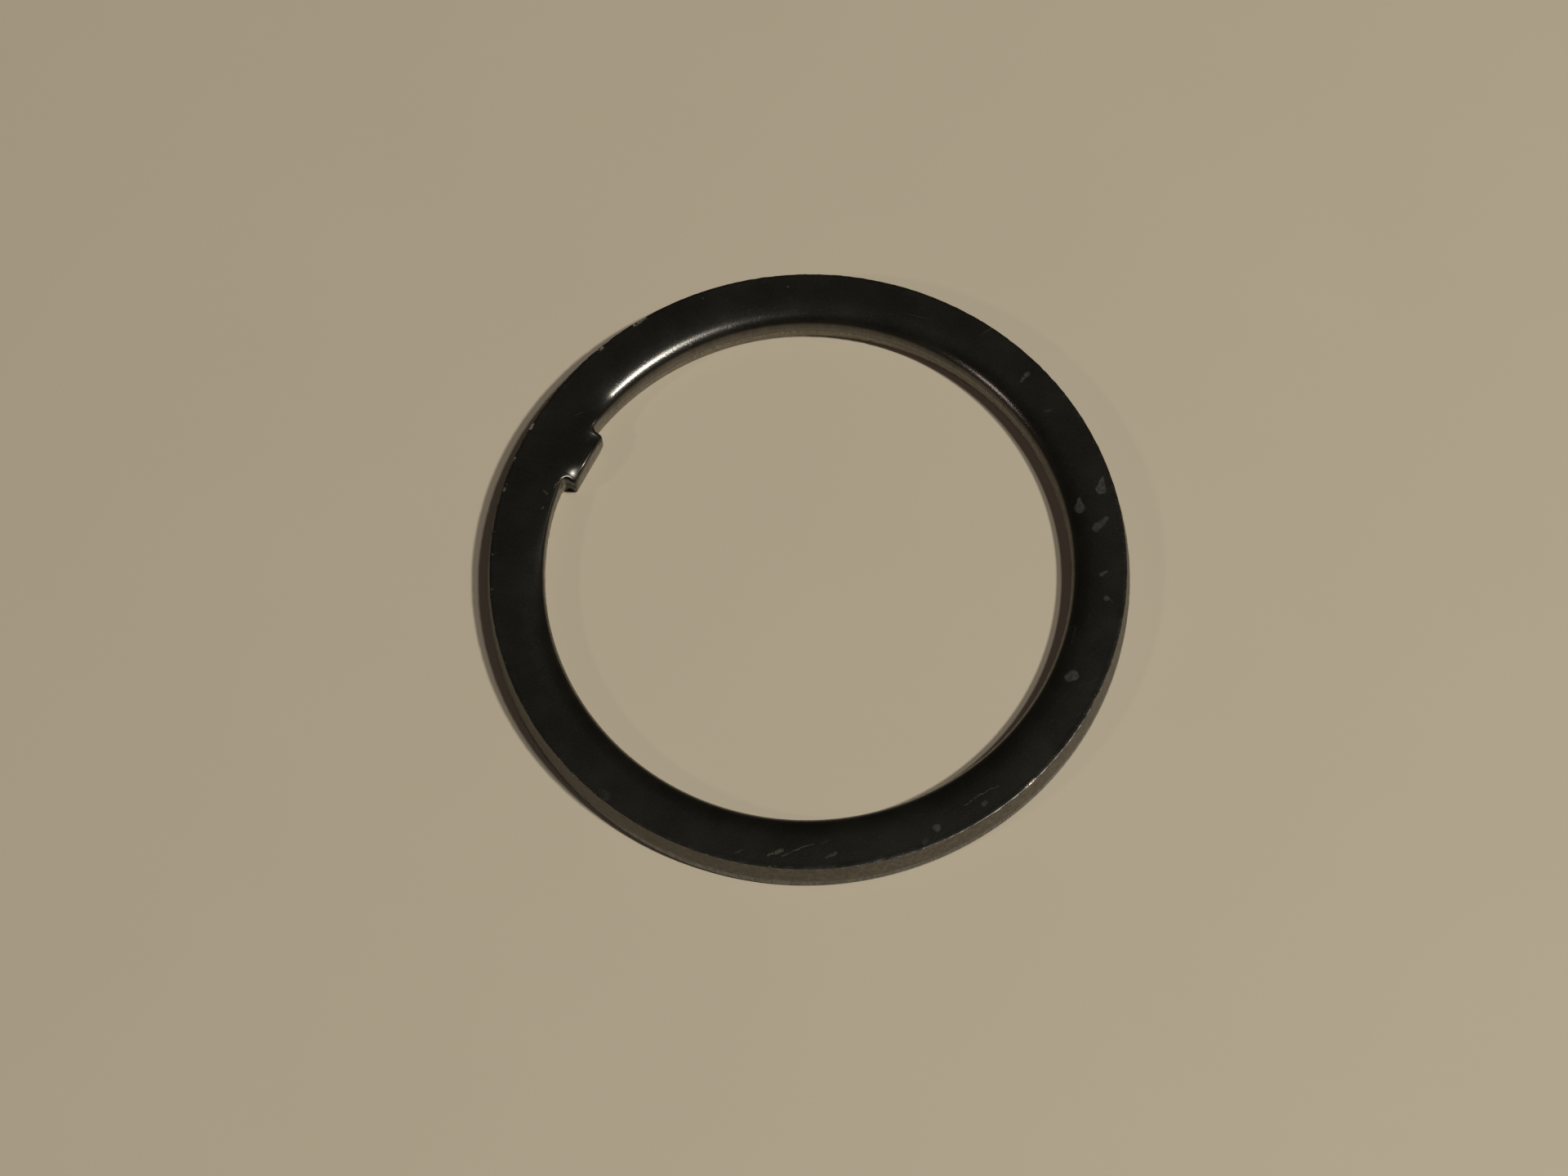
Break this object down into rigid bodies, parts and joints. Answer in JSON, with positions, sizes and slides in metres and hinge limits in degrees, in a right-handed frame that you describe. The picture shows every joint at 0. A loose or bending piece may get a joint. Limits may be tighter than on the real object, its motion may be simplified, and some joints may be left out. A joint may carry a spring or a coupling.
{
  "type": "flat key ring",
  "caption": "Flat pressed steel ring with one short square tab standing into its bore, a rounded upper bore edge and a sharp upper rim.",
  "frame": {"origin": "middle of the ring on its underside, the face it lies on", "axes": "+Z is the ring's own axis, out of its upper face; the tab stands into the bore in the second quadrant, 152.3 degrees from +X towards +Y"},
  "size_m": [0.032, 0.032, 0.0021],
  "materials": {
    "blackened_steel": "black oxide, satin, worn bright at the edges"
  },
  "bodies": {
    "root": {"tabbed_ring": "blackened_steel"}
  },
  "joints": []
}
